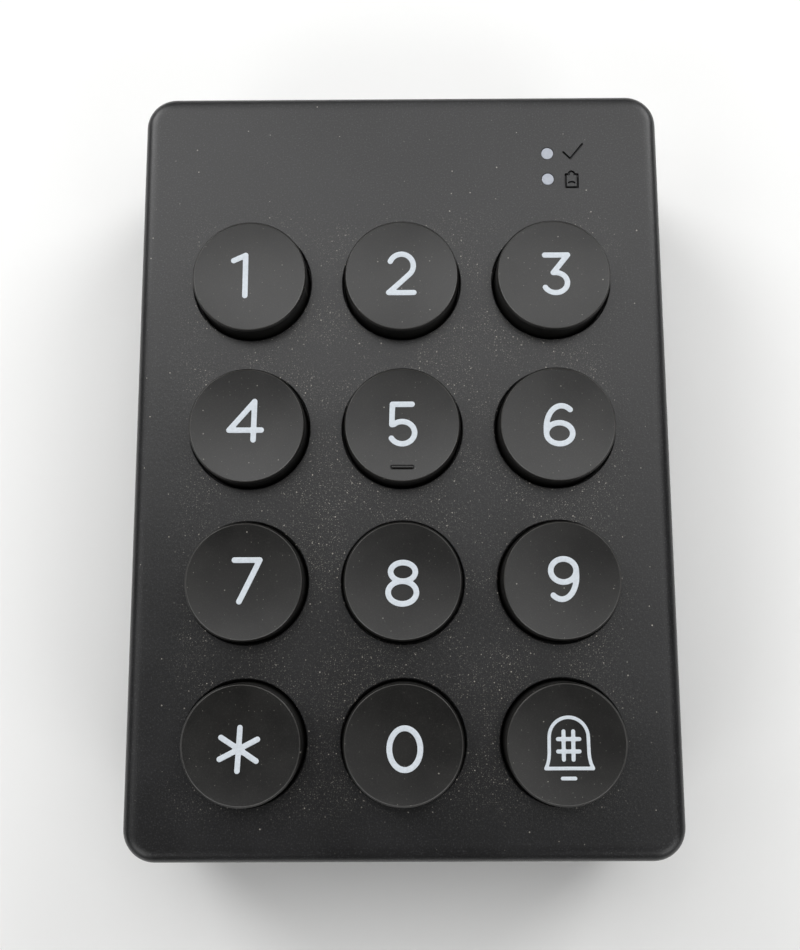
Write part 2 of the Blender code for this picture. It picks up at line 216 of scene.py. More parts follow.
class Net:
    """The node tree of one finish. Constants go straight onto the shader."""

    def __init__(self, name, base, roughness, metallic=0.0, **constants):
        self.material = bpy.data.materials.new(name)
        self.material.use_nodes = True
        self.tree = self.material.node_tree
        self.shader = self.tree.nodes["Principled BSDF"]
        self.shader.inputs["Base Color"].default_value = (*base, 1.0)
        self.shader.inputs["Roughness"].default_value = roughness
        self.shader.inputs["Metallic"].default_value = metallic
        for socket, value in constants.items():
            self.shader.inputs[socket.replace("_", " ")].default_value = value
        self.coordinates = self.node("ShaderNodeTexCoord", output="Object")

    def node(self, kind, settings=None, sockets=None, output=0):
        made = self.tree.nodes.new(kind)
        for name, value in (settings or {}).items():
            setattr(made, name, value)
        for name, value in (sockets or {}).items():
            if isinstance(value, Value):
                self.tree.links.new(value.socket, made.inputs[name])
            else:
                made.inputs[name].default_value = value
        return Value(self, made.outputs[output])

    def axes(self):
        split = self.node("ShaderNodeSeparateXYZ", None, {0: self.coordinates})
        return [Value(self, split.socket.node.outputs[n]) for n in range(3)]

    def noise(self, size, detail=2.0, vector=None):
        """Soft noise whose patches are about size metres across, from 0 to 1."""
        return self.node("ShaderNodeTexNoise", None,
                         {"Vector": vector or self.coordinates, "Scale": 1 / size, "Detail": detail}, "Fac")

    def specks(self, spacing, radius, share, turn=0.0, length=1.0):
        """Round specks on upward faces, 1 inside them. About share of the cells, spacing apart, hold one.
        With a length over 1 they are short fibres that lie at an angle of turn."""
        cell_size = {"Scale": (length * spacing, spacing, spacing), "Rotation": (0.0, 0.0, turn)}
        where = self.node("ShaderNodeMapping", {"vector_type": "TEXTURE"},
                          {"Vector": self.coordinates, **cell_size})
        flat = {"voronoi_dimensions": "2D"}
        near = self.node("ShaderNodeTexVoronoi", flat, {"Vector": where, "Scale": 1.0}, "Distance")
        cell = self.node("ShaderNodeTexVoronoi", flat, {"Vector": where, "Scale": 1.0}, "Color")
        split = self.node("ShaderNodeSeparateColor", None, {0: cell})
        pick, grade = (Value(self, split.socket.node.outputs[n]) for n in range(2))
        reach = radius / spacing
        return (near < reach * 0.45 + grade * (0.55 * reach)) * (pick < share) * (0.3 + 0.7 * grade)

    def ramp(self, value, low, high, start=0.0, end=1.0):
        """Eases from start to end as value goes from low to high."""
        return self.node("ShaderNodeMapRange", {"interpolation_type": "SMOOTHSTEP"},
                         {0: value, 1: low, 2: high, 3: start, 4: end})

    def blend(self, share, first, second):
        """Colour first where share is 0 and second where it is 1."""
        sockets = {0: share, 6: first, 7: second}
        for key in (6, 7):
            if isinstance(sockets[key], tuple) and len(sockets[key]) == 3:
                sockets[key] = (*sockets[key], 1.0)
        return self.node("ShaderNodeMix", {"data_type": "RGBA"}, sockets, 2)

    def feed(self, socket, value):
        self.tree.links.new(value.socket, self.shader.inputs[socket])

    def finish(self, colour, roughness, height=None, depth=0.0, strength=1.0):
        """Feeds what changes over the surface, and gives back the material."""
        self.feed("Base Color", colour)
        self.feed("Roughness", roughness)
        if height is not None:
            sockets = {"Height": height, "Distance": depth, "Strength": strength}
            self.feed("Normal", self.node("ShaderNodeBump", None, sockets))
        return self.material


def times(factor, base):
    return tuple(factor * part for part in base)


# ---------------------------------------------------------------- finishes


def moulded_case(name, settings, dusty):
    """Black plastic from a spark-textured mould, with fine dust between the keys of the face."""
    black = tuple(settings.black)
    net = Net(name, black, 0.47)
    grain = net.noise(0.2 * MM, 3.0)
    pits = net.noise(0.45 * MM, 2.0)
    cloud = net.noise(11 * MM, 4.0)
    # The paler grain specks are partly the plastic's grain and partly painted glints of its spark texture;
    # the cloud is random tone.
    tone = net.ramp(grain, 0.5, 0.78) + 0.12 * net.ramp(cloud, 0.35, 0.7)
    shade = net.blend(tone, black, times(5.5, black))
    rough = 0.30 + 0.05 * grain + 0.07 * cloud
    if dusty:
        shade, dust = dusted(net, shade, tuple(settings.dust))
        rough = rough + 0.25 * dust
    return net.finish(shade, rough, grain + 1.6 * pits, 0.012 * MM, 0.7)


def dusted(net, shade, pale):
    """Dust and short fibres on the face: thick in patches between the keys, thin towards the edges."""
    x, y, z = net.axes()
    rows = [place.y for place in KEY_PLACES.values()]
    grid_y = (max(rows) + min(rows)) / 2
    inward = net.ramp(abs(x), 24 * MM, 32 * MM, 1.0, 0.0)
    inward = inward * net.ramp(abs(y - grid_y), 34 * MM, 42 * MM, 1.0, 0.0)
    patch = net.ramp(net.noise(6.5 * MM, 3.0), 0.36, 0.62, 0.25, 1.0)
    crowd = inward * patch + 0.04
    powder = net.specks(0.24 * MM, 0.055 * MM, 0.75) * 0.2
    fine = net.specks(0.42 * MM, 0.07 * MM, 0.6) * 0.32
    coarse = net.specks(1.1 * MM, 0.085 * MM, 0.5) * 0.75
    fibres = net.specks(0.9 * MM, 0.05 * MM, 0.22, 0.6, 5.0) * 0.28
    hairs = net.specks(1.1 * MM, 0.05 * MM, 0.22, 2.0, 6.0) * 0.28
    stray = net.specks(3.1 * MM, 0.10 * MM, 0.3) * 0.6
    dust = (crowd * (powder + fine + coarse + fibres + hairs) + stray) * (z > FACE_Z - 0.1 * MM)
    dust = dust.math("MINIMUM", 1.0)
    return net.blend(dust, shade, pale), dust


def satin_key(name, settings):
    """Smoother black plastic, a little polished in the dish by fingers, with a few specks of dust and a
    painted highlight on the rim.
    """
    black = tuple(settings.black)
    net = Net(name, black, 0.40)
    grain = net.noise(0.16 * MM, 3.0)
    cloud = net.noise(5.5 * MM, 3.0)
    tone = 0.7 * net.ramp(grain, 0.5, 0.78) + 0.3 * net.ramp(cloud, 0.3, 0.7)
    dust = net.specks(0.8 * MM, 0.06 * MM, 0.22) * 0.28 + net.specks(3.3 * MM, 0.09 * MM, 0.35) * 0.55
    shade = net.blend(tone, black, times(4.0, black))
    # Painted highlight: the rim of every cap is painted paler, standing in for the light line that its edge
    # catches.
    shade = net.blend(painted_rim_highlight(net, settings), shade, times(6.0, black))
    shade = net.blend(dust, shade, tuple(settings.dust))
    return net.finish(shade, 0.26 + 0.04 * grain + 0.07 * cloud + 0.2 * dust, grain, 0.008 * MM, 0.6)


def painted_rim_highlight(net, settings):
    """1 on the rim of every key cap, where a paler ring is painted as the highlight along the rim's edge.
    """
    x, y, z = net.axes()
    middle_key = KEY_PLACES["5"]
    pitch = middle_key.x - KEY_PLACES["4"].x
    across = (x - middle_key.x).math("WRAP", pitch / 2, -pitch / 2)
    along = (y - middle_key.y).math("WRAP", pitch / 2, -pitch / 2)
    radius = (across * across + along * along).math("SQRT")
    inner = settings.radius - settings.draft - settings.rim
    return net.ramp(radius, inner - 0.05 * MM, inner + 0.05 * MM) * (z > KEY_HIGH.z - 0.07 * MM)


def figure_ink(name, settings):
    white = tuple(settings.white)
    net = Net(name, white, 0.5)
    mottle = net.noise(0.3 * MM, 3.0)
    shade = net.blend(net.ramp(mottle, 0.3, 0.75), times(0.9, white), white)
    return net.finish(shade, 0.46 + 0.1 * mottle, mottle, 0.01 * MM, 0.4)


def milky_lens(name):
    net = Net(name, (0.36, 0.385, 0.44), 0.24, Specular_IOR_Level=0.6)
    cloud = net.noise(0.5 * MM, 2.0)
    return net.finish(net.blend(cloud, (0.30, 0.325, 0.375), (0.42, 0.45, 0.51)), 0.2 + 0.1 * cloud)


def soft_rubber(name, base):
    net = Net(name, base, 0.68, Specular_IOR_Level=0.35)
    grain = net.noise(0.3 * MM, 3.0)
    shade = net.blend(net.ramp(net.noise(6 * MM), 0.3, 0.7), base, times(1.18, base))
    return net.finish(shade, 0.6 + 0.14 * grain, grain, 0.02 * MM, 0.5)


def foam_pad(name, base):
    net = Net(name, base, 0.85, Specular_IOR_Level=0.3)
    sockets = {"Vector": net.coordinates, "Scale": 1 / (0.45 * MM)}
    cells = net.node("ShaderNodeTexVoronoi", None, sockets, "Distance")
    shade = net.blend(net.ramp(cells, 0.1, 0.7), base, times(0.82, base))
    return net.finish(shade, 0.8 + 0.12 * cells, cells, 0.05 * MM, 0.6)


def plated_metal(name, base, roughness):
    net = Net(name, base, roughness, 1.0)
    grain = net.noise(0.25 * MM, 3.0)
    stain = net.noise(3.0 * MM, 3.0)
    shade = net.blend(net.ramp(stain, 0.35, 0.75), base, times(0.8, base))
    return net.finish(shade, roughness - 0.04 + 0.12 * grain + 0.06 * stain, grain, 0.006 * MM, 0.5)


def brushed_strip(name, base, roughness):
    """Rolled metal with fine lines along Y."""
    net = Net(name, base, roughness, 1.0)
    stretched = net.node("ShaderNodeMapping", None,
                         {"Vector": net.coordinates, "Scale": (9000.0, 350.0, 9000.0)})
    lines = net.noise(1.0, 2.0, stretched)
    shade = net.blend(lines, times(0.86, base), base)
    return net.finish(shade, roughness - 0.05 + 0.16 * lines, lines, 0.004 * MM, 0.5)


def printed_sleeve(name, base, band):
    """A plain shrink sleeve in one dark colour, with a bright band towards one end."""
    net = Net(name, base, 0.3, Coat_Weight=0.25, Coat_Roughness=0.15)
    _, y, _ = net.axes()
    centre = middle("battery_1").y
    stripe = (abs(y - centre) > 14.5 * MM) * (abs(y - centre) < 18.0 * MM)
    wrinkle = net.noise(2.2 * MM, 3.0)
    shade = net.blend(stripe, net.blend(wrinkle, base, times(1.2, base)), band)
    return net.finish(shade, 0.26 + 0.1 * wrinkle, wrinkle, 0.03 * MM, 0.3)


def board_mask(name):
    """Green solder mask over copper tracks, with tinned round pads."""
    green, copper, tin = (0.008, 0.075, 0.028), (0.016, 0.125, 0.045), (0.55, 0.53, 0.47)
    net = Net(name, green, 0.35)
    x, y, _ = net.axes()
    bend = net.noise(14 * MM, 0.0)
    across = (x + bend * (9 * MM)) * (TURN / (1.27 * MM))
    along = (y + bend * (11 * MM)) * (TURN / (1.9 * MM))
    tracks = (across.math("SINE") > 0.45).math("MAXIMUM", along.math("SINE") > 0.7)
    tracks = tracks * net.ramp(net.noise(8 * MM, 1.0), 0.48, 0.52)
    pads = net.specks(2.1 * MM, 0.42 * MM, 0.3)
    weave = net.noise(0.35 * MM, 2.0)
    shade = net.blend(pads, net.blend(tracks, green, copper), tin)
    net.feed("Metallic", pads)
    return net.finish(shade, 0.33 + 0.08 * weave - 0.05 * pads, tracks + pads, 0.03 * MM, 0.6)


def chip_resin(name, base):
    net = Net(name, base, 0.52)
    grain = net.noise(0.08 * MM, 2.0)
    shade = net.blend(grain, base, times(1.5, base))
    return net.finish(shade, 0.46 + 0.14 * grain, grain, 0.008 * MM, 0.6)


def table_top(name):
    net = Net(name, (0.9, 0.9, 0.89), 0.6, Specular_IOR_Level=0.3)
    cloud = net.noise(0.05, 3.0)
    return net.finish(net.blend(cloud, (0.888, 0.888, 0.88), (0.912, 0.912, 0.903)), 0.55 + 0.1 * cloud)


# ---------------------------------------------------------------- modelling helpers


def discard(piece):
    bpy.data.objects.remove(piece, do_unlink=True)


def clear_selection():
    if bpy.context.mode != "OBJECT":
        bpy.ops.object.mode_set(mode="OBJECT")
    bpy.ops.object.select_all(action="DESELECT")


def activate(piece):
    clear_selection()
    piece.select_set(True)
    bpy.context.view_layer.objects.active = piece
    return piece


def settle(piece):
    """Puts the piece's place, turn and size into its mesh."""
    activate(piece)
    bpy.ops.object.transform_apply(location=True, rotation=True, scale=True)
    return piece


@contextlib.contextmanager
def editing(piece, kind="FACE"):
    activate(piece)
    bpy.ops.object.mode_set(mode="EDIT")
    bpy.ops.mesh.select_mode(type=kind)
    bpy.ops.mesh.select_all(action="DESELECT")
    yield
    bpy.ops.object.mode_set(mode="OBJECT")


def choose(kind, test):
    """Selects, in edit mode, the vertices, edges or faces that pass the test."""
    mesh = bpy.context.object.data
    bm = bmesh.from_edit_mesh(mesh)
    bpy.ops.mesh.select_all(action="DESELECT")
    for element in {"VERT": bm.verts, "EDGE": bm.edges, "FACE": bm.faces}[kind]:
        if test(element):
            element.select_set(True)
    bm.select_flush_mode()
    bmesh.update_edit_mesh(mesh)


def upright(edge):
    return abs(edge.verts[0].co.z - edge.verts[1].co.z) > 0.1 * MM


def at_level(level):
    return lambda edge: all(abs(v.co.z - level) < 0.001 * MM for v in edge.verts)


def bevel(offset, segments, profile=0.5):
    bpy.ops.mesh.bevel(offset=offset, offset_type="OFFSET", segments=segments, profile=profile,
                       affect="EDGES")


def rounded_block(low, high, corner=0.0, top=0.0, bottom=0.0, corner_steps=12, rim_steps=6, crown=0.5):
    """A block with rounded upright edges and rims. A crown over 0.5 squares the top rim."""
    clear_selection()
    bpy.ops.mesh.primitive_cube_add(size=1.0, location=(Vector(low) + Vector(high)) / 2)
    piece = bpy.context.object
    piece.scale = Vector(high) - Vector(low)
    settle(piece)
    with editing(piece, "EDGE"):
        if corner:
            choose("EDGE", upright)
            bevel(corner, corner_steps)
        for radius, level, profile in ((top, high[2], crown), (bottom, low[2], 0.5)):
            if radius:
                choose("EDGE", at_level(level))
                bevel(radius, rim_steps, profile)
    return piece


def slab(low, high, grow, floor, roof, corner, **rims):
    """A rounded block on a box's outline, grown all round, between two heights."""
    return rounded_block((low.x - grow, low.y - grow, floor), (high.x + grow, high.y + grow, roof), corner,
                         **rims)


def posts(places, radius, low, high, sides=48):
    """An upright post at each place."""
    made = []
    for place in places:
        clear_selection()
        bpy.ops.mesh.primitive_cone_add(vertices=sides, radius1=radius, radius2=radius, depth=high - low,
                                        location=(place[0], place[1], (low + high) / 2))
        made.append(settle(bpy.context.object))
    return made


def together(pieces):
    """Joins pieces into one object of separate bodies."""
    clear_selection()
    for piece in pieces:
        piece.select_set(True)
    bpy.context.view_layer.objects.active = pieces[0]
    if len(pieces) > 1:
        bpy.ops.object.join()
    return pieces[0]


def boolean(piece, tool, operation="DIFFERENCE"):
    activate(piece)
    modifier = piece.modifiers.new("shape", "BOOLEAN")
    modifier.operation = operation
    modifier.solver = "EXACT"
    modifier.object = tool
    bpy.ops.object.modifier_apply(modifier="shape")
    discard(tool)
    return piece


def fuse(pieces):
    """Unites overlapping closed pieces into one body."""
    first, *others = pieces
    for other in others:
        boolean(first, other, "UNION")
    return first


def soften(piece, angle):
    """Smooth shading across edges under the angle, which is in degrees."""
    activate(piece)
    bpy.ops.object.shade_smooth_by_angle(angle=math.radians(angle))
    return piece


def smooth(piece):
    """Smooth shading that keeps flat faces flat beside their rounded edges."""
    soften(piece, 32)
    modifier = piece.modifiers.new("flat_faces", "WEIGHTED_NORMAL")
    modifier.keep_sharp = True
    modifier.weight = 100
    bpy.ops.object.modifier_apply(modifier="flat_faces")
    return piece


def arc(centre_r, centre_z, radius, start, end, steps):
    """Points of a turned profile along an arc, angles in degrees from +R."""
    points = []
    for n in range(steps + 1):
        angle = math.radians(start + (end - start) * n / steps)
        points.append((centre_r + radius * math.cos(angle), centre_z + radius * math.sin(angle)))
    return points


def mm(*points):
    """Points of a turned profile, given in millimetres."""
    return [(radius * MM, height * MM) for radius, height in points]


def close_seams():
    """In edit mode, merges doubles and turns every face outwards."""
    bpy.ops.mesh.select_all(action="SELECT")
    bpy.ops.mesh.remove_doubles(threshold=0.001 * MM)
    bpy.ops.mesh.select_all(action="SELECT")
    bpy.ops.mesh.normals_make_consistent(inside=False)


def turned(profile, steps, x=0.0, y=0.0):
    """Spins a profile of (radius, height) points about the upright line through x and y."""
    clear_selection()
    bpy.ops.mesh.primitive_plane_add(size=MM)
    piece = bpy.context.object
    with editing(piece, "VERT"):
        bpy.ops.mesh.select_all(action="SELECT")
        bpy.ops.mesh.merge(type="CENTER")
        here = Vector((profile[0][0], 0.0, profile[0][1]))
        bpy.ops.mesh.select_all(action="SELECT")
        bpy.ops.transform.translate(value=here)
        for radius, height in profile[1:]:
            there = Vector((radius, 0.0, height))
            bpy.ops.mesh.extrude_region_move(TRANSFORM_OT_translate={"value": there - here})
            here = there
        bpy.ops.mesh.select_all(action="SELECT")
        bpy.ops.mesh.spin(steps=steps, angle=TURN, center=(0.0, 0.0, 0.0), axis=(0.0, 0.0, 1.0))
        close_seams()
    piece.location = (x, y, 0.0)
    return settle(piece)


def copy_of(piece, offset):
    """A copy with its own mesh, moved by offset."""
    twin = piece.copy()
    twin.data = piece.data.copy()
    bpy.context.scene.collection.objects.link(twin)
    twin.location = offset
    return settle(twin)


def copies(piece, places):
    """A copy of the piece at each place, in place of the piece itself."""
    made = [copy_of(piece, (place[0], place[1], 0.0)) for place in places]
    discard(piece)
    return made


def bar_along(points, radius, resolution, closed=False):
    """A round bar along the points, as a mesh."""
    curve = bpy.data.curves.new("bar", "CURVE")
    curve.dimensions = "3D"
    curve.bevel_depth = radius
    curve.bevel_resolution = resolution
    curve.use_fill_caps = True
    spline = curve.splines.new("POLY")
    spline.points.add(len(points) - 1)
    for point, place in zip(spline.points, points):
        point.co = (*place, 1.0)
    spline.use_cyclic_u = closed
    bar = bpy.data.objects.new("bar", curve)
    bpy.context.scene.collection.objects.link(bar)
    activate(bar)
    bpy.ops.object.convert(target="MESH")
    return bpy.context.object


def complete(piece, name, material, body, slot, *nodes):
    """Names a finished piece, paints it and hands it to the frame."""
    piece.name = name
    piece.data.name = name
    piece.data.materials.clear()
    piece.data.materials.append(material)
    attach(piece, body)
    if nodes:
        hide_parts(*nodes)
    return piece


def paint(node, material):
    """Gives a CAD node that stays its finish."""
    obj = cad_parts[node]
    obj.data.materials.clear()
    obj.data.materials.append(material)


# ---------------------------------------------------------------- strokes of figures and signs


def straight(*points):
    """A path through points given in millimetres."""
    return [Vector((x, y, 0.0)) for x, y in points]


def curved(centre, radii, start, end):
    """Points along part of an ellipse, in millimetres, angles in degrees from +X."""
    steps = max(6, int(abs(end - start) / 7.5))
    points = []
    for n in range(steps + 1):
        angle = math.radians(start + (end - start) * n / steps)
        points.append((centre[0] + radii[0] * math.cos(angle), centre[1] + radii[1] * math.sin(angle)))
    return straight(*points)


def ring(centre, radii):
    return curved(centre, radii, 0.0, 360.0)


def bell_outline():
    half, foot, brow = 2.4, 2.9, 1.3
    flare = [(-half - 0.04, -0.7), (-half - 0.1, -1.25), (-half - 0.24, -1.85), (-foot, -2.42)]
    left = straight(*reversed(flare))
    right = straight(*[(-x, y) for x, y in flare])
    return left + list(reversed(curved((0.0, brow), (half, half), 0.0, 180.0))) + right


def star_arms(reach, turn):
    arms = []
    for angle in (90.0, 30.0, 150.0):
        direction = math.radians(angle + turn)
        tip = (reach * math.cos(direction), reach * math.sin(direction))
        arms.append(straight(tip, (-tip[0], -tip[1])))
    return arms


def strokes(share, *paths):
    """Paths to draw at a share of the usual stroke width."""
    return [(share, path) for path in paths]


FIGURES = {
    "1": strokes(1.0, straight((-1.85, 1.85), (-0.27, 2.58)), straight((-0.27, 2.58), (-0.30, -2.94))),
    "2": strokes(1.0, curved((0.0, 1.05), (1.57, 1.57), 158.0, -47.0) + straight((-1.68, -2.64)),
                 straight((-1.68, -2.64), (1.62, -2.64))),
    "3": strokes(1.0, straight((-1.40, 2.38), (1.62, 2.38)), straight((1.62, 2.38), (-0.30, 0.0)),
                 straight((-0.30, 0.0)) + curved((-0.02, -1.38), (1.55, 1.38), 90.0, -152.0)),
    "4": strokes(1.0, straight((1.25, 3.10), (-2.0, -0.64)), straight((-2.0, -0.64), (2.15, -0.64)),
                 straight((1.25, 3.10), (1.12, -1.92))),
    "5": strokes(1.0, straight((1.29, 2.64), (-1.24, 2.64)), straight((-1.24, 2.64), (-1.33, 0.0)),
                 straight((-1.33, 0.0)) + curved((0.0, -1.07), (1.6, 1.46), 132.0, -150.0)),
    "6": strokes(1.0, ring((-0.06, -1.25), (1.68, 1.38)),
                 straight((-1.74, -1.25)) + curved((0.25, -0.6), (2.0, 2.95), 180.0, 56.0)),
    "7": strokes(1.0, straight((-0.95, 2.93), (2.25, 2.93)), straight((2.25, 2.93), (-0.29, -2.27))),
    "8": strokes(1.0, ring((0.02, 1.36), (1.56, 1.17)), ring((-0.08, -1.22), (1.78, 1.42))),
    "9": strokes(1.0, ring((-0.07, 1.45), (1.6, 1.45)),
                 straight((1.53, 1.45)) + curved((-0.35, 0.75), (1.9, 2.9), 0.0, -124.0)),
    "star": strokes(0.95, *star_arms(2.6, -3.0)),
    "0": strokes(1.0, ring((0.15, -0.05), (1.91, 2.5))),
    "bell": [*strokes(0.6, bell_outline(), straight((-2.9, -2.42), (2.9, -2.42))),
             *strokes(0.62, straight((-0.9, -3.6), (0.68, -3.6))),
             *strokes(0.7, straight((-0.62, 2.0), (-0.66, -1.38)), straight((0.57, 2.0), (0.53, -1.38)),
                      straight((-1.32, 1.07), (1.3, 1.07)), straight((-1.34, -0.41), (1.28, -0.41)))],
}

# Engraved signs, measured from the light that each stands beside
SIGNS = {
    "status": strokes(1.0, straight((2.18, 0.18), (3.11, -0.77)), straight((3.11, -0.77), (4.81, 1.33))),
    "battery": [*strokes(1.0, straight((2.42, 0.66), (2.42, -1.2)), straight((2.42, -1.2), (4.05, -1.2)),
                         straight((4.05, -1.2), (4.05, 0.66)), straight((4.05, 0.66), (3.62, 0.66)),
                         straight((2.85, 0.66), (2.42, 0.66)),
                         curved((3.23, 0.66), (0.4, 0.42), 0.0, 180.0)),
                *strokes(0.9, curved((3.23, -0.62), (0.42, 0.2), 20.0, 160.0))],
}


def ball(place, radius):
    clear_selection()
    bpy.ops.mesh.primitive_uv_sphere_add(segments=32, ring_count=16, radius=radius, location=place)
    return settle(bpy.context.object)


def drawn(paths, width, thickness, grid=0.06):
    """One closed body from all the strokes of a figure, squashed to a thin inlay at height 0. The strokes
    are joined at one unit to the millimetre, with a ball on each loose end."""
    parts = []
    for share, path in paths:
        radius = share * width / MM / 2
        closed = (path[0] - path[-1]).length < 0.01
        parts.append(bar_along(path[:-1] if closed else path, radius, 6, closed))
        parts += [ball(tip, radius) for tip in ([] if closed else (path[0], path[-1]))]
    piece = activate(together(parts))
    weld = piece.modifiers.new("weld", "REMESH")
    weld.mode = "VOXEL"
    weld.voxel_size = grid
    bpy.ops.object.modifier_apply(modifier="weld")
    piece.scale = (MM, MM, MM * thickness / width)
    return settle(piece)


# ---------------------------------------------------------------- pieces


def dish_height(settings, radius):
    """Height of a key's top at a distance from its middle."""
    hollow = settings.radius - settings.rim
    return KEY_HIGH.z - settings.dish * (1 - (min(radius, hollow) / hollow) ** 2)


def key_profile(settings):
    """Half section of a cap: dish, rounded rim, side, flange, hollow underside and plunger."""
    crest = settings.radius - settings.draft
    hollow = crest - settings.rim
    rim = settings.rim * 0.8
    flange_top = COVER_HIGH.z - 2.4 * MM
    flange_low = KEY_LOW.z + 0.4 * MM
    flange_r = (KEY_HIGH.x - KEY_LOW.x) / 2
    inside = settings.radius - 1.2 * MM
    roof = KEY_HIGH.z - 2.1 * MM
    reaches = [hollow * n / 10 for n in range(10)] + [hollow - 0.05 * MM, hollow]
    dish = [(reach, dish_height(settings, reach)) for reach in reaches]
    shoulder = arc(crest - rim, KEY_HIGH.z - rim, rim, 78.0, 36.0, 5)
    return [
        *dish,
        *shoulder,
        (settings.radius, KEY_HIGH.z - 0.26 * MM),
        (settings.radius, flange_top + 0.25 * MM),
        *arc(settings.radius + 0.25 * MM, flange_top + 0.25 * MM, 0.25 * MM, 202.5, 270.0, 3),
        *arc(flange_r - 0.15 * MM, flange_top - 0.15 * MM, 0.15 * MM, 90.0, 0.0, 2),
        *arc(flange_r - 0.15 * MM, flange_low + 0.15 * MM, 0.15 * MM, 0.0, -90.0, 2),
        (inside, flange_low),
        *arc(inside - 0.5 * MM, roof - 0.5 * MM, 0.5 * MM, 0.0, 90.0, 3),
        (2.8 * MM, roof),
        (2.8 * MM, KEY_LOW.z + 0.2 * MM),
        (2.6 * MM, KEY_LOW.z),
        (0.0, KEY_LOW.z),
    ]


def lay_in_dish(piece, settings, x, y, lift):
    """Bends a thin inlay to a key's dish, x and y away from the key's middle."""
    for vertex in piece.data.vertices:
        vertex.co.x += x
        vertex.co.y += y
        vertex.co.z += dish_height(settings, math.hypot(vertex.co.x, vertex.co.y)) + lift


def figure_shift(place):
    """The figures lie on a grid slightly larger than the keys', so they drift outwards from the middle."""
    return 0.015 * place.x, 0.015 * (place.y + 3.2 * MM)


def hole_cutter(places, radius, rim, depth, sides):
    """Cuts a hole with a rounded rim into the face at each place."""
    profile = [(0.0, FACE_Z + 1 * MM), (radius + rim, FACE_Z + 1 * MM)]
    profile += [(radius + rim - rim * math.cos(a), FACE_Z - rim + rim * math.sin(a))
                for a in (math.radians(90 - 18 * n) for n in range(6))]
    profile += [(radius, FACE_Z - depth), (0.0, FACE_Z - depth)]
    return together(copies(turned(profile, sides), places))


class KEYPAD_OT_front_cover(bpy.types.Operator):
    """Model the moulded face, its walls, holes, engraved signs and screw bosses"""

    bl_idname = "keypad.front_cover"
    bl_label = "Front Cover"

    def execute(self, context):
        case = context.scene.keypad_case
        cover = rounded_block(COVER_LOW, COVER_HIGH, case.corner, top=case.edge, bottom=0.2 * MM,
                              rim_steps=10, crown=case.crown)
        boolean(cover, slab(COVER_LOW, COVER_HIGH, -case.wall, COVER_LOW.z - 2 * MM, FACE_Z - case.wall,
                            case.corner - case.wall, top=0.6 * MM))
        top = FACE_Z - 1.5 * MM
        bosses = posts(CASE_SCREW_PLACES, 2.6 * MM, COVER_LOW.z, top)
        bosses += posts(BOARD_SCREW_PLACES, 2.2 * MM, BOARD_HIGH.z + 0.3 * MM, top)
        boolean(cover, together(bosses), "UNION")
        bores = posts(CASE_SCREW_PLACES, 1.3 * MM, COVER_LOW.z - 1 * MM, 16 * MM, 24)
        bores += posts(BOARD_SCREW_PLACES, 1.2 * MM, BOARD_HIGH.z - 1 * MM, 20.8 * MM, 24)
        boolean(cover, together(bores))
        depth = 4 * MM
        boolean(cover, hole_cutter(KEY_PLACES.values(), case.hole, case.hole_edge, depth, 128))
        boolean(cover, hole_cutter(LIGHT_PLACES.values(), 0.84 * MM, 0.08 * MM, depth, 48))
        for name, paths in SIGNS.items():
            sign = drawn(paths, case.sign_width, 2 * case.sign_depth, 0.03)
            sign.location = (LIGHT_PLACES[name].x, LIGHT_PLACES[name].y, FACE_Z + 0.02 * MM)
            boolean(cover, settle(sign))
        smooth(cover)
        finish = moulded_case("case_plastic_face", case, dusty=True)
        complete(cover, "front_cover_shell", finish, "unit", "case_plastic", "front_cover")
        return {"FINISHED"}


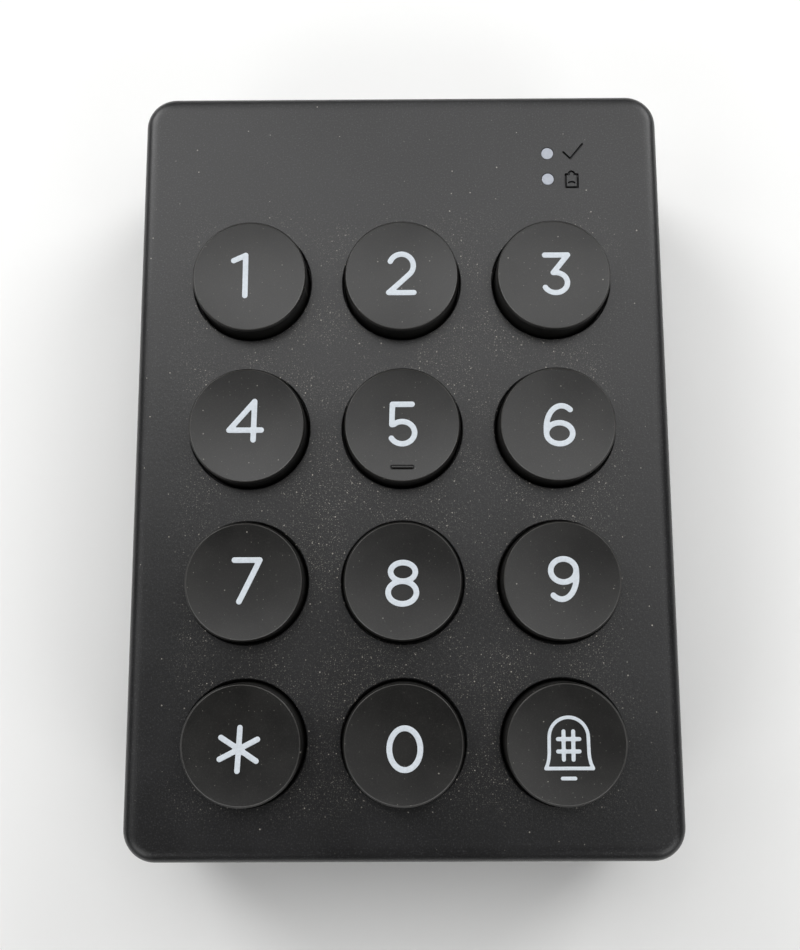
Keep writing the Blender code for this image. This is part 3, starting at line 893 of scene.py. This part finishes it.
class KEYPAD_OT_rear_cover(bpy.types.Operator):
    """Model the back half of the case with its battery pocket, and paint the seam's gasket"""

    bl_idname = "keypad.rear_cover"
    bl_label = "Rear Cover"

    def execute(self, context):
        case = context.scene.keypad_case
        skin, rim, recess, wall = 5.0 * MM, 3.3 * MM, 0.3 * MM, 1.2 * MM
        roof = REAR_HIGH.z
        cover = slab(REAR_LOW, REAR_HIGH, 0.0, REAR_LOW.z, COVER_LOW.z - 0.3 * MM, case.corner - 0.3 * MM,
                     top=0.2 * MM, bottom=1.2 * MM)
        boolean(cover, slab(REAR_LOW, REAR_HIGH, -rim, skin, 10 * MM, 1.5 * MM))
        far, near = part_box("battery_contact_1")[1].y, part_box("battery_contact_2")[0].y
        centre_y = (far + near) / 2
        half_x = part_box("battery_4")[1].x + 0.55 * MM
        half_y = far + 0.3 * MM - centre_y
        low, high = Vector((-half_x, centre_y - half_y)), Vector((half_x, centre_y + half_y))
        tray = slab(low, high, wall, skin - 1.2 * MM, roof, 0.8 * MM, top=0.3 * MM, rim_steps=3)
        boolean(cover, tray, "UNION")
        lumps = posts(CASE_SCREW_PLACES, 3.4 * MM, skin - 0.5 * MM, COVER_LOW.z - 0.3 * MM)
        lumps += posts(POST_PLACES, 3.3 * MM, skin - 0.5 * MM, 8.5 * MM)
        boolean(cover, together(lumps), "UNION")
        boolean(cover, slab(PLATE_LOW, PLATE_HIGH, recess, 0.0, 3.4 * MM, 3.3 * MM))
        boolean(cover, slab(low, high, 0.0, 2 * MM, roof - wall, 0.6 * MM, top=0.5 * MM, rim_steps=3))
        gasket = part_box("case_gasket")
        groove = slab(*gasket, recess, 7.6 * MM, 10 * MM, 3.2 * MM)
        boolean(groove, slab(*gasket, recess - 1.5 * MM, 7 * MM, 11 * MM, 1.7 * MM))
        boolean(cover, groove)
        counterbore = mm((0, 9.5), (1.3, 9.5), (1.3, 6.0), (2.6, 6.0), (2.6, 0.5), (0, 0.5))
        holes = [turned(counterbore, 40, p.x, p.y) for p in CASE_SCREW_PLACES]
        boolean(cover, together(holes + posts(POST_PLACES, 2.1 * MM, 2 * MM, 7.2 * MM, 40)))
        ribs = [rounded_block((x - 0.15 * MM, centre_y - half_y + 8 * MM, 9.0 * MM),
                              (x + 0.15 * MM, centre_y + half_y - 8 * MM, roof - wall + 0.3 * MM))
                for x in ((middle(f"battery_{n}").x + middle(f"battery_{n + 1}").x) / 2 for n in (1, 2, 3))]
        boolean(cover, together(ribs), "UNION")
        smooth(cover)
        finish = moulded_case("case_plastic_back", case, dusty=False)
        complete(cover, "rear_cover_shell", finish, "unit", "case_plastic", "rear_cover")
        paint("case_gasket", soft_rubber("gasket_rubber", (0.02, 0.02, 0.02)))
        return {"FINISHED"}


class KEYPAD_OT_keys(bpy.types.Operator):
    """Turn one concave key cap and place a copy of it in each hole, with a finding bar on the 5"""

    bl_idname = "keypad.keys"
    bl_label = "Key Caps"

    def execute(self, context):
        settings = context.scene.keypad_keys
        finish = satin_key("key_plastic", settings)
        caps = copies(turned(key_profile(settings), settings.steps), KEY_PLACES.values())
        for key, (name, place) in zip(caps, KEY_PLACES.items()):
            if name == "5":
                self.add_bar(key, settings, place)
            soften(key, 32)
            complete(key, "key_cap_" + name, finish, "button_" + name, "key_plastic", "key_" + name)
        return {"FINISHED"}

    def add_bar(self, key, settings, place):
        """A small raised bar in a shallow trench, so that the middle key is found by touch."""
        drop = 5.5 * MM
        level = dish_height(settings, drop)
        trench = rounded_block((-1.57 * MM, -0.31 * MM, level - 0.25 * MM),
                               (1.57 * MM, 0.31 * MM, level + 1 * MM), 0.3 * MM, corner_steps=8)
        bar = rounded_block((-1.4 * MM, -0.14 * MM, level - 0.6 * MM),
                            (1.4 * MM, 0.14 * MM, KEY_HIGH.z + 0.05 * MM),
                            0.13 * MM, top=0.08 * MM, corner_steps=6, rim_steps=3)
        for tool, operation in ((trench, "DIFFERENCE"), (bar, "UNION")):
            tool.location = (place.x, place.y - drop, 0.0)
            boolean(key, settle(tool), operation)


class KEYPAD_OT_key_mat(bpy.types.Operator):
    """Model the silicone mat, with a hollow dome under each key"""

    bl_idname = "keypad.key_mat"
    bl_label = "Key Mat"

    def execute(self, context):
        rubber = soft_rubber("key_mat_silicone", (0.32, 0.33, 0.34))
        low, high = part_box("key_mat")
        sheet_top = low.z + 0.8 * MM
        foot = 5.1 * MM
        sheet = slab(low, high, 0.0, low.z, sheet_top, 3.0 * MM, top=0.1 * MM, corner_steps=6, rim_steps=2)
        below, above = low.z - 1 * MM, sheet_top + 1 * MM
        holes = posts(KEY_PLACES.values(), foot + 0.02 * MM, below, above, 64)
        holes += posts(BOARD_SCREW_PLACES[2:], 2.6 * MM, below, above, 24)
        boolean(sheet, together(holes))
        complete(smooth(sheet), "key_mat_sheet", rubber, "unit", "key_mat_silicone", "key_mat")
        roof = high.z - 0.5 * MM
        profile = [(0.0, high.z), *arc(3.1 * MM, high.z - 0.2 * MM, 0.2 * MM, 90.0, 37.0, 3),
                   (foot, sheet_top), (foot, low.z), (4.75 * MM, low.z), (2.9 * MM, roof), (0.0, roof)]
        domes = copies(turned(profile, 64), KEY_PLACES.values())
        for dome, (name, place) in zip(domes, KEY_PLACES.items()):
            complete(smooth(dome), "key_dome_" + name, rubber, "unit", "key_mat_silicone")
            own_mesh(dome)
        return {"FINISHED"}


class KEYPAD_OT_figures(bpy.types.Operator):
    """Draw the twelve white figures and inlay each in the dish of its key"""

    bl_idname = "keypad.figures"
    bl_label = "Figures"

    def execute(self, context):
        settings = context.scene.keypad_keys
        finish = figure_ink("legend_white", settings)
        for name, place in KEY_PLACES.items():
            figure = drawn(FIGURES[name], settings.stroke, 2 * settings.proud)
            dx, dy = figure_shift(place)
            lay_in_dish(figure, settings, dx, dy, 0.004 * MM)
            figure.location = (place.x, place.y, 0.0)
            soften(settle(figure), 40)
            complete(figure, "figure_" + name, finish, "button_" + name, "legend_white")
        return {"FINISHED"}


class KEYPAD_OT_lights(bpy.types.Operator):
    """Model the light guide with its two lenses, and paint the lights under it"""

    bl_idname = "keypad.lights"
    bl_label = "Indicator Lights"

    def execute(self, context):
        bar_z = BOARD_HIGH.z + 1.4 * MM
        bar = slab(GUIDE_LOW, GUIDE_HIGH, 0.0, bar_z, bar_z + 1.3 * MM, 0.5 * MM, top=0.2 * MM,
                   corner_steps=4, rim_steps=3)
        half = 0.5 * MM
        feet = [rounded_block((GUIDE_LOW.x, y - half, BOARD_HIGH.z + 0.3 * MM),
                              (GUIDE_HIGH.x, y + half, bar_z + 0.4 * MM), 0.3 * MM, corner_steps=3)
                for y in (GUIDE_LOW.y + half, GUIDE_HIGH.y - half)]
        radius, dome = 0.8 * MM, 0.06 * MM
        crown = [(radius * n / 6, FACE_Z - dome * (n / 6) ** 2) for n in range(7)]
        base = [(radius, bar_z + 0.5 * MM), (0.0, bar_z + 0.5 * MM)]
        pipes = [turned(crown + base, 40, p.x, p.y) for p in LIGHT_PLACES.values()]
        guide = fuse([bar, *feet, *pipes])
        smooth(guide)
        complete(guide, "light_guide_lenses", milky_lens("light_guide_plastic"), "unit",
                 "light_guide_plastic", "light_guide")
        resin = chip_resin("led_resin", (0.62, 0.6, 0.45))
        for name in LIGHT_PLACES:
            paint(name + "_led", resin)
        return {"FINISHED"}


class KEYPAD_OT_electronics(bpy.types.Operator):
    """Paint the board, its components and the contact pills"""

    bl_idname = "keypad.electronics"
    bl_label = "Electronics"

    def execute(self, context):
        paint("circuit_board", board_mask("board_laminate"))
        paint("controller_chip", chip_resin("chip_resin", (0.012, 0.012, 0.013)))
        paint("buzzer", chip_resin("buzzer_plastic", (0.016, 0.016, 0.016)))
        paint("radio_module", brushed_strip("radio_shield", (0.62, 0.62, 0.6), 0.32))
        carbon = soft_rubber("contact_pill_carbon", (0.03, 0.03, 0.03))
        for name in KEY_NAMES:
            paint("contact_pill_" + name, carbon)
        return {"FINISHED"}


class KEYPAD_OT_batteries(bpy.types.Operator):
    """Model the four cells with their sleeves, springs and contact plates"""

    bl_idname = "keypad.batteries"
    bl_label = "Batteries"

    def execute(self, context):
        can_finish = plated_metal("battery_can", (0.66, 0.65, 0.62), 0.28)
        sleeve_finish = printed_sleeve("battery_sleeve", (0.02, 0.035, 0.06), (0.36, 0.33, 0.27))
        spring_finish = plated_metal("spring_steel", (0.7, 0.7, 0.68), 0.26)
        plate_finish = brushed_strip("contact_nickel", (0.68, 0.66, 0.62), 0.3)
        for n in range(1, 5):
            low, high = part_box(f"battery_{n}")
            centre = (low + high) / 2
            up = 1 if n % 2 else -1
            half = (high.y - low.y) / 2
            radius = (high.x - low.x) / 2
            can = self.turned_along_y(self.can_profile(radius, half), centre, up)
            complete(can, f"battery_{n}_can", can_finish, "unit", "battery_sleeve", f"battery_{n}")
            sleeve = self.turned_along_y(self.sleeve_profile(radius, half), centre, up)
            complete(sleeve, f"battery_{n}_sleeve", sleeve_finish, "unit", "battery_sleeve")
            spring = self.spring(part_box(f"battery_spring_{n}"), centre, up)
            complete(spring, f"battery_{n}_spring", spring_finish, "unit", "spring_steel",
                     f"battery_spring_{n}")
            plate = self.contact(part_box(f"battery_contact_{n}"), centre, up)
            complete(plate, f"battery_{n}_contact", plate_finish, "unit", "contact_nickel",
                     f"battery_contact_{n}")
        return {"FINISHED"}

    def can_profile(self, radius, half):
        inner = radius - 0.12 * MM
        return [(0.0, half), *arc(1.5 * MM, half - 0.4 * MM, 0.4 * MM, 90.0, 0.0, 4),
                (1.9 * MM, half - 1.0 * MM), (3.6 * MM, half - 1.0 * MM),
                (3.9 * MM, half - 1.25 * MM), (4.3 * MM, half - 1.25 * MM),
                *arc(inner - 0.4 * MM, half - 1.4 * MM, 0.4 * MM, 90.0, 0.0, 4),
                *arc(inner - 0.5 * MM, 0.5 * MM - half, 0.5 * MM, 0.0, -90.0, 4),
                (2.6 * MM, -half), (2.4 * MM, 0.15 * MM - half), (0.0, 0.15 * MM - half)]

    def sleeve_profile(self, radius, half):
        inner, mouth, bend, skin = radius - 0.1 * MM, radius - 0.75 * MM, 0.35 * MM, 0.1 * MM
        top, foot = half - 1.0 * MM, -half + 0.02 * MM
        return [(mouth, top), *arc(radius - bend, top - bend, bend, 90.0, 0.0, 4),
                *arc(radius - bend, foot + bend, bend, 0.0, -90.0, 4), (mouth, foot),
                (mouth, foot + skin), (inner - 0.4 * MM, foot + skin),
                (inner, foot + 0.5 * MM), (inner, top - 0.5 * MM), (inner - 0.4 * MM, top - skin),
                (mouth, top - skin), (mouth, top)]

    def turned_along_y(self, profile, centre, up):
        piece = turned(profile, 64)
        piece.rotation_euler = (-up * math.pi / 2, 0.0, 0.0)
        piece.location = centre
        return soften(settle(piece), 35)

    def spring(self, box, centre, up):
        low, high = box
        wire = 0.3 * MM
        foot = low.y + wire if up > 0 else high.y - wire
        turns, steps = 3, 28
        run = high.y - low.y - 2 * wire
        points = []
        for n in range(turns * steps + 1):
            part = n / (turns * steps)
            angle = TURN * turns * part
            radius = (3.6 - 1.5 * part) * MM
            points.append((centre.x + radius * math.cos(angle), foot + up * run * part,
                           centre.z + radius * math.sin(angle)))
        piece = bar_along(points, wire, 3)
        with editing(piece, "VERT"):
            close_seams()
        return soften(piece, 50)

    def contact(self, box, centre, up):
        """A square plate with rounded corners, pressed out to a low dimple where the cell touches it."""
        low, high = box
        thickness = high.y - low.y
        half = (high.x - low.x) / 2
        plate = rounded_block((-half, -half, 0.0), (half, half, thickness * 0.6), 0.8 * MM, corner_steps=4)
        dimple = turned([(0.0, thickness), (1.2 * MM, thickness), (2.0 * MM, thickness * 0.5),
                         (2.0 * MM, 0.1 * MM), (0.0, 0.1 * MM)], 40)
        boolean(plate, dimple, "UNION")
        plate.rotation_euler = (up * math.pi / 2, 0.0, 0.0)
        plate.location = (centre.x, high.y if up > 0 else low.y, centre.z)
        return smooth(settle(plate))


class KEYPAD_OT_screws(bpy.types.Operator):
    """Turn the case and board screws, with a cross recess in each head"""

    bl_idname = "keypad.screws"
    bl_label = "Screws"

    def execute(self, context):
        finish = plated_metal("screw_steel", (0.5, 0.5, 0.5), 0.3)
        for kind, places, head_t, shank_r in (("case_screw", CASE_SCREW_PLACES, 1.4, 1.0),
                                              ("board_screw", BOARD_SCREW_PLACES, 1.5, 0.85)):
            low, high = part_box(kind + "_1")
            screws = copies(self.screw(low, high, head_t * MM, shank_r * MM), places)
            for n, screw in enumerate(screws, 1):
                complete(screw, f"{kind}_{n}_threaded", finish, "unit", "screw_steel", f"{kind}_{n}")
        return {"FINISHED"}

    def screw(self, low, high, head_t, shank_r):
        """A pan-head screw pointing up, its thread as a stack of shallow ridges."""
        head_r = (high.x - low.x) / 2
        base = low.z
        pitch = 0.5 * MM
        ridges = int((high.z - 0.9 * MM - base - head_t - 0.6 * MM) / pitch)
        profile = [(0.0, high.z), (0.25 * shank_r, high.z), (0.8 * shank_r, high.z - 0.7 * MM)]
        for n in range(ridges):
            level = high.z - 0.8 * MM - n * pitch
            profile += [(0.8 * shank_r, level), (shank_r, level - 0.2 * MM),
                        (0.8 * shank_r, level - 0.4 * MM)]
        profile += [(0.8 * shank_r, base + head_t), (head_r, base + head_t)]
        profile += [(head_r * math.cos(a), base + 0.75 * head_t * (1 - math.sin(a)))
                    for a in (math.radians(18 * n) for n in range(6))]
        piece = turned(profile, 40)
        cross = [rounded_block((-x * MM, -y * MM, base - 1 * MM), (x * MM, y * MM, base + 0.55 * head_t))
                 for x, y in ((1.15, 0.22), (0.22, 1.15))]
        boolean(piece, fuse(cross))
        return smooth(piece)


class KEYPAD_OT_wall_plate(bpy.types.Operator):
    """Model the wall plate with its posts and screw holes, and the two foam pads"""

    bl_idname = "keypad.wall_plate"
    bl_label = "Wall Plate"

    def execute(self, context):
        case = context.scene.keypad_case
        top, tip, foot = 3.1 * MM, PLATE_HIGH.z, PLATE_LOW.z + 0.5 * MM
        plate = slab(PLATE_LOW, PLATE_HIGH, 0.0, PLATE_LOW.z, top, 3.0 * MM, top=0.3 * MM, bottom=0.3 * MM,
                     rim_steps=3)
        profile = [(0.0, tip), (1.2 * MM, tip), (1.8 * MM, tip - 0.8 * MM), (1.6 * MM, tip - 1.6 * MM),
                   (1.8 * MM, tip - 2.4 * MM), (1.8 * MM, foot), (0.0, foot)]
        boolean(plate, together([turned(profile, 40, x, y) for x, y in POST_PLACES]), "UNION")
        rows = (-24 * MM, 24 * MM)
        countersink = mm((0, 3.6), (4.3, 3.6), (4.3, 3.2), (2.15, 1.75), (2.15, 0.5), (0, 0.5))
        boolean(plate, together([turned(countersink, 48, 0.0, y) for y in rows]))
        windows = [rounded_block((x - 5 * MM, y - 9 * MM, top - 0.7 * MM), (x + 5 * MM, y + 9 * MM, 5 * MM),
                                 1.5 * MM, corner_steps=5)
                   for x in (-14 * MM, 14 * MM) for y in (rows[0], 0.0, rows[1])]
        boolean(plate, together(windows))
        smooth(plate)
        black = moulded_case("wall_plate_plastic", case, dusty=False)
        complete(plate, "wall_plate_moulding", black, "wall_mount", "wall_plate_plastic", "wall_plate")
        foam = foam_pad("pad_foam", (0.6, 0.6, 0.58))
        for node in ("adhesive_pad_top", "adhesive_pad_bottom"):
            low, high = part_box(node)
            pad = rounded_block(low, high, 2.0 * MM, top=0.12 * MM, bottom=0.05 * MM, rim_steps=3)
            complete(smooth(pad), node + "_foam", foam, "wall_mount", "pad_foam", node)
        return {"FINISHED"}


class KEYPAD_OT_studio(bpy.types.Operator):
    """Add the table, the soft lights and the camera"""

    bl_idname = "keypad.studio"
    bl_label = "Studio"

    def execute(self, context):
        studio = context.scene.keypad_studio
        self.table()
        self.camera(studio)
        for name, turn, tilt, power in SOFT_LIGHTS:
            self.panel(studio, name, math.radians(turn), math.radians(tilt), power)
        context.scene.world = self.room(studio)
        context.scene.view_settings.view_transform = "Standard"
        return {"FINISHED"}

    def room(self, studio):
        """Pale walls near the horizon that fade to a dim ceiling."""
        world = bpy.data.worlds.new("room")
        world.use_nodes = True
        nodes, links = world.node_tree.nodes, world.node_tree.links
        direction = nodes.new("ShaderNodeTexCoord")
        split = nodes.new("ShaderNodeSeparateXYZ")
        fade = nodes.new("ShaderNodeMapRange")
        fade.interpolation_type = "SMOOTHSTEP"
        for socket, value in ((1, 0.12), (2, 0.5), (3, studio.walls), (4, studio.sky)):
            fade.inputs[socket].default_value = value
        links.new(direction.outputs["Generated"], split.inputs[0])
        links.new(split.outputs["Z"], fade.inputs[0])
        links.new(fade.outputs[0], nodes["Background"].inputs["Strength"])
        nodes["Background"].inputs["Color"].default_value = (1.0, 1.0, 1.0, 1.0)
        return world

    def table(self):
        clear_selection()
        bpy.ops.mesh.primitive_plane_add(size=4.0, location=(0.0, 0.0, CAD_BOX[0].z - 0.02 * MM))
        table = settle(bpy.context.object)
        table.name = "table"
        table.data.materials.append(table_top("table_top"))

    def camera(self, studio):
        target = Vector((-0.3 * MM, -2.75 * MM, KEY_HIGH.z))
        low = math.cos(studio.elevation)
        away = Vector((math.sin(studio.azimuth) * low, -math.cos(studio.azimuth) * low,
                       math.sin(studio.elevation)))
        bpy.ops.object.camera_add(location=target + studio.distance * away)
        camera = bpy.context.object
        camera.name = "camera"
        aim = (-away).to_track_quat("-Z", "Y").to_matrix().to_4x4()
        place = Matrix.Translation(camera.location)
        camera.matrix_world = place @ aim @ Matrix.Rotation(studio.roll, 4, "Z")
        camera.data.sensor_width = 36.0
        camera.data.lens = studio.lens / MM
        camera.data.clip_start = 0.005
        camera.data.dof.use_dof = False
        bpy.context.scene.camera = camera

    def panel(self, studio, name, turn, tilt, power):
        """A square soft light that faces the keypad."""
        away = Vector((math.sin(turn) * math.sin(tilt), math.cos(turn) * math.sin(tilt), math.cos(tilt)))
        bpy.ops.object.light_add(type="AREA", location=studio.reach * away)
        light = bpy.context.object
        light.name = name
        light.data.shape = "SQUARE"
        light.data.size = studio.panel
        light.data.energy = power * studio.power
        light.rotation_euler = (-away).to_track_quat("-Z", "Y").to_euler()


class KEYPAD_PT_panel(bpy.types.Panel):
    """Lists the settings and the steps that build the keypad"""

    bl_idname = "KEYPAD_PT_panel"
    bl_label = "Wall Keypad"
    bl_space_type = "VIEW_3D"
    bl_region_type = "UI"
    bl_category = "Keypad"

    def draw(self, context):
        for group in (context.scene.keypad_case, context.scene.keypad_keys, context.scene.keypad_studio):
            box = self.layout.box()
            for name in group.bl_rna.properties.keys():
                if name not in {"rna_type", "name"}:
                    box.prop(group, name)
        for step in STEPS:
            self.layout.operator(step.bl_idname)


STEPS = (
    KEYPAD_OT_studio,
    KEYPAD_OT_front_cover,
    KEYPAD_OT_rear_cover,
    KEYPAD_OT_keys,
    KEYPAD_OT_key_mat,
    KEYPAD_OT_figures,
    KEYPAD_OT_lights,
    KEYPAD_OT_electronics,
    KEYPAD_OT_batteries,
    KEYPAD_OT_screws,
    KEYPAD_OT_wall_plate,
)
GROUPS = {
    "keypad_case": KeypadCaseSettings,
    "keypad_keys": KeypadKeySettings,
    "keypad_studio": KeypadStudioSettings,
}
CLASSES = (*GROUPS.values(), *STEPS, KEYPAD_PT_panel)


def register():
    for cls in CLASSES:
        bpy.utils.register_class(cls)
    for name, group in GROUPS.items():
        setattr(bpy.types.Scene, name, PointerProperty(type=group))


def unregister():
    for name in GROUPS:
        delattr(bpy.types.Scene, name)
    for cls in reversed(CLASSES):
        bpy.utils.unregister_class(cls)


def main():
    register()
    for step in STEPS:
        group, name = step.bl_idname.split(".")
        getattr(getattr(bpy.ops, group), name)()
    clear_selection()


if __name__ == "__main__":
    main()
